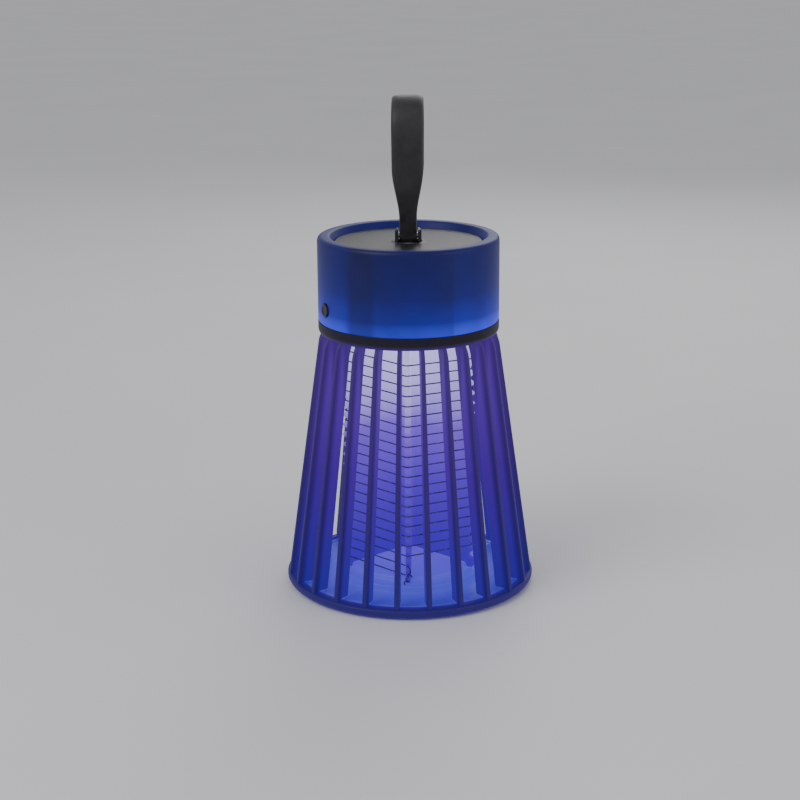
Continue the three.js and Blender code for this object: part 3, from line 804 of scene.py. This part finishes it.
# ---- Housing and top -------------------------------------------------------------------------
def build_housing(material):
    recess = PLATE_RADIUS + 0.4
    inner = COLLAR_RADIUS - HOUSING_WALL
    ledge = PLATE_BOTTOM - 0.3
    profile = [
        (inner, SEAM_Z + 0.05, 0.2),
        (COLLAR_RADIUS - 0.35, SEAM_Z + 0.05, 0.1),
        (COLLAR_RADIUS - 0.35, SEAM_Z + 0.4, 0.1),
        (COLLAR_RADIUS - 0.02, SEAM_Z + 0.5, 0.15),
        (COLLAR_RADIUS - 0.02, HOUSING_TOP, 5.2),
        (CREST_RADIUS, HOUSING_TOP, 0.9),
        (recess, PLATE_TOP - 0.2, 0.3),
        (recess, ledge, 0.2),
        (31.5, ledge, 0.2),
        (31.5, ledge - 2, 0.2),
        (recess + 1, ledge - 2, 0.4),
        (inner, ledge - 5, 0.8),
    ]
    bm = bmesh.new()
    revolve(bm, rounded(profile, 0.3, 8))
    mesh = finished(bm, "housing")
    piece = link_mesh("frosted_housing", mesh, material, "frosted_plastic", "housing", "lamp_housing")
    button_hole = bmesh.new()
    hole = [
        (0, COLLAR_RADIUS - 5),
        (BUTTON_RADIUS + 0.35, COLLAR_RADIUS - 5),
        (BUTTON_RADIUS + 0.35, COLLAR_RADIUS - 0.5),
        (BUTTON_RADIUS + 0.9, COLLAR_RADIUS + 0.4),
        (BUTTON_RADIUS + 0.9, COLLAR_RADIUS + 4),
        (0, COLLAR_RADIUS + 4),
    ]
    revolve(button_hole, hole, SMALL_ROUND, closed=False)
    bmesh.ops.transform(button_hole, matrix=button_frame(), verts=button_hole.verts)
    corners = [(-4.8, USB_Z - 1.9), (4.8, USB_Z - 1.9), (4.8, USB_Z + 1.9), (-4.8, USB_Z + 1.9)]
    outline = rounded(corners, 1.6, 6)
    usb_hole = plate([tuple(p) for p in outline], lambda z: 8, 0.05)
    bmesh.ops.translate(usb_hole, vec=(0, COLLAR_RADIUS, 0), verts=usb_hole.verts)
    cut(piece, [button_hole, usb_hole])


def button_frame():
    """Brings the Z axis to the button's axis, pointing out of the wall."""
    tip = Matrix.Rotation(math.pi / 2, 4, "Y")
    return Matrix.Translation((0, 0, BUTTON_Z)) @ from_front(BUTTON_ANGLE) @ tip


def build_button(material):
    bm = bmesh.new()
    face = COLLAR_RADIUS + 0.8
    flange = COLLAR_RADIUS - HOUSING_WALL - 0.8
    profile = [
        (0, flange - 1, 0),
        (4.2, flange - 1, 0.2),
        (4.2, flange, 0.2),
        (BUTTON_RADIUS, flange, 0.1),
        (BUTTON_RADIUS, face - 0.05, 0.5),
        (BUTTON_RADIUS - 0.9, face - 0.05, 0.5),
        (BUTTON_RADIUS - 1.4, face - 0.3, 0.5),
        (0, face - 0.35, 0),
    ]
    revolve(bm, rounded(profile, 0.3, 5, closed=False), SMALL_ROUND, closed=False)
    bmesh.ops.transform(bm, matrix=button_frame(), verts=bm.verts)
    link_mesh("button_cap", finished(bm, "button"), material, "black_plastic", "button", "power_button")


def build_top(material):
    bm = bmesh.new()
    hole = ANCHOR_RADIUS + 0.3
    profile = [
        (hole, PLATE_BOTTOM, 0.2),
        (PLATE_RADIUS - 0.02, PLATE_BOTTOM, 0.2),
        (PLATE_RADIUS - 0.02, PLATE_TOP, 0.5),
        (hole + 1.6, PLATE_TOP - 0.35, 0.8),
        (hole + 0.5, PLATE_TOP - 0.05, 0.4),
        (hole, PLATE_TOP - 0.05, 0.3),
    ]
    revolve(bm, rounded(profile, 0.3, 5))
    link_mesh("top_disc", finished(bm, "top"), material, "black_plastic", "housing", "top_plate")
    boss = bmesh.new()
    outline = [
        (0, ANCHOR_BOTTOM, 0),
        (9.5, ANCHOR_BOTTOM, 0.3),
        (9.5, 164.8, 0.3),
        (ANCHOR_RADIUS, 164.8, 0.2),
        (ANCHOR_RADIUS, ANCHOR_TOP, 1.3),
        (0, ANCHOR_TOP, 0),
    ]
    revolve(boss, rounded(outline, 0.3, 6, closed=False), SMALL_ROUND * 2, closed=False)
    mesh = finished(boss, "clevis")
    piece = link_mesh("strap_clevis", mesh, material, "black_plastic", "housing", "strap_anchor")
    half = STRAP_ROOT_WIDTH / 2 + 0.6
    above = ANCHOR_TOP + 6.9
    slot_outline = [(-half, SLOT_FLOOR), (half, SLOT_FLOOR), (half, above), (-half, above)]
    slot = plate(slot_outline, lambda z: 24, 0.3)
    cut(piece, [slot])


# ---- Strap -----------------------------------------------------------------------------------
def strap_width(z):
    share = smooth((z - PIN_Z - 8) / ((STRAP_TOP - PIN_Z) / 2 - 8))
    return lerp(STRAP_ROOT_WIDTH, STRAP_WIDTH - 0.05, share)


def strap_line(offset, leg_steps=40, crown_steps=70):
    """The loop's line in Y and Z, at a distance inside its outer edge, from root to root."""
    crown_z = STRAP_TOP - STRAP_CROWN
    lean = math.asin((STRAP_CROWN - STRAP_EYE) / (crown_z - PIN_Z))
    leg_start = Vector(((STRAP_EYE - offset) * math.cos(lean), PIN_Z - (STRAP_EYE - offset) * math.sin(lean)))
    reach = STRAP_CROWN - offset
    leg_end = Vector((reach * math.cos(lean), crown_z - reach * math.sin(lean)))
    leg = [leg_start.lerp(leg_end, i / leg_steps) for i in range(leg_steps)]
    crown = []
    for i in range(crown_steps + 1):
        a = lerp(-lean, math.pi + lean, i / crown_steps)
        crown.append(Vector((reach * math.cos(a), crown_z + reach * math.sin(a))))
    other = [Vector((-p.x, p.y)) for p in reversed(leg)]
    return leg + crown + other


def build_strap(material):
    """A moulded band with rounded edges, bent to a tall loop, on a barrel round the pin."""
    bm = bmesh.new()
    line = strap_line(STRAP_THICKNESS / 2)
    section = 28
    rings = []
    for i, here in enumerate(line):
        ahead = line[min(i + 1, len(line) - 1)] - line[max(i - 1, 0)]
        outward = Vector((ahead.y, -ahead.x)).normalized()
        half_width = strap_width(here.y) / 2
        half_thick = STRAP_THICKNESS / 2 - 0.02
        ring = []
        for k in range(section):
            a = 2 * math.pi * k / section
            x = half_width * math.copysign(abs(math.cos(a)) ** 0.42, math.cos(a))
            t = half_thick * math.copysign(abs(math.sin(a)) ** 0.75, math.sin(a))
            place = here + outward * t
            ring.append(bm.verts.new((x, place.x, place.y)))
        rings.append(ring)
    for low, high in zip(rings, rings[1:]):
        for k in range(section):
            bm.faces.new([low[k], low[(k + 1) % section], high[(k + 1) % section], high[k]])
    bm.faces.new(rings[0])
    bm.faces.new(list(reversed(rings[-1])))
    barrel = bmesh.new()
    half = STRAP_ROOT_WIDTH / 2
    profile = [(0, -half, 0), (STRAP_EYE - 0.02, -half, 0.8), (STRAP_EYE - 0.02, half, 0.8), (0, half, 0)]
    revolve(barrel, rounded(profile, 0.3, 5, closed=False), SMALL_ROUND, closed=False)
    stamp(bm, barrel, Matrix.Translation((0, 0, PIN_Z)) @ Matrix.Rotation(math.pi / 2, 4, "Y"))
    barrel.free()
    link_mesh("strap_loop", finished(bm, "strap", 50), material, "strap_rubber", "strap", "hanging_strap")


# ---- CAD nodes that keep their shape ---------------------------------------------------------
def paint_nodes(finishes):
    for names, material, slot in finishes:
        for name in names:
            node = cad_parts[name]
            node.data.materials.clear()
            node.data.materials.append(material)
            node.data.shade_smooth()
            node.data.set_sharp_from_angle(angle=math.radians(32))


# ---- Studio ----------------------------------------------------------------------------------
def area_light(name, place, energy, size, target=(0, 0, 0.11)):
    light = bpy.data.objects.new(name, bpy.data.lights.new(name, "AREA"))
    light.data.energy = energy
    light.data.shape = "DISK"
    light.data.size = size
    light.location = place
    light.rotation_euler = (Vector(target) - Vector(place)).to_track_quat("-Z", "Y").to_euler()
    bpy.context.scene.collection.objects.link(light)


def build_studio():
    mesh = bpy.data.meshes.new("studio_floor")
    half = 60.0
    corners = [(-half, -half, 0), (half, -half, 0), (half, half, 0), (-half, half, 0)]
    mesh.from_pydata(corners, [], [(0, 1, 2, 3)])
    mesh.materials.append(floor_paint())
    floor = bpy.data.objects.new("studio_floor", mesh)
    bpy.context.scene.collection.objects.link(floor)
    world = bpy.data.worlds.new("studio")
    world.use_nodes = True
    world.node_tree.nodes["Background"].inputs["Color"].default_value = (0.9, 0.91, 0.93, 1)
    world.node_tree.nodes["Background"].inputs["Strength"].default_value = 0.6
    bpy.context.scene.world = world
    area_light("key", (-0.7, -0.6, 0.9), 5.5, 0.8)
    area_light("fill", (0.9, -0.5, 0.5), 1.8, 0.9)
    area_light("back", (0.2, 0.9, 0.7), 2.5, 0.7)


place_camera()
skirt_finish = skirt_plastic()
black = black_plastic()
rubber = foot_rubber()
wire = grid_wire()
build_skirt(skirt_finish)
build_tray(tray_plastic(), rubber)
build_cage(cage_plastic())
build_wires(wire)
build_lamps(led_lens())
build_housing(frosted_plastic())
build_button(black)
build_top(black)
build_strap(strap_rubber())
plain = plain_white()
green = circuit_board("green_board", (0.015, 0.13, 0.05), (0.05, 0.26, 0.1))
white_board = circuit_board("white_board", (0.66, 0.66, 0.7), (0.5, 0.5, 0.56))
zinc = steel("zinc_steel", (0.55, 0.55, 0.57), 0.3)
tin = steel("tinned_sheet", (0.64, 0.65, 0.66), 0.26)
screws = [f"chassis_screw_{i + 1}" for i in range(3)]
paint_nodes([
    (["chassis_plate", "battery_cradle"], plain, "white_plastic"),
    (["seal_ring"], rubber, "foot_rubber"),
    (["led_board"], white_board, "circuit_board"),
    (["control_board", "charge_board"], green, "circuit_board"),
    (["strap_pin", "cage_screw", *screws], zinc, "steel"),
    (["tact_switch", "usb_socket"], tin, "tin"),
    (["battery_cell"], cell_sleeve(), "cell_sleeve"),
    (["hv_transformer"], winding(), "winding"),
    (["hv_capacitor"], capacitor_body(), "capacitor_body"),
])
build_studio()
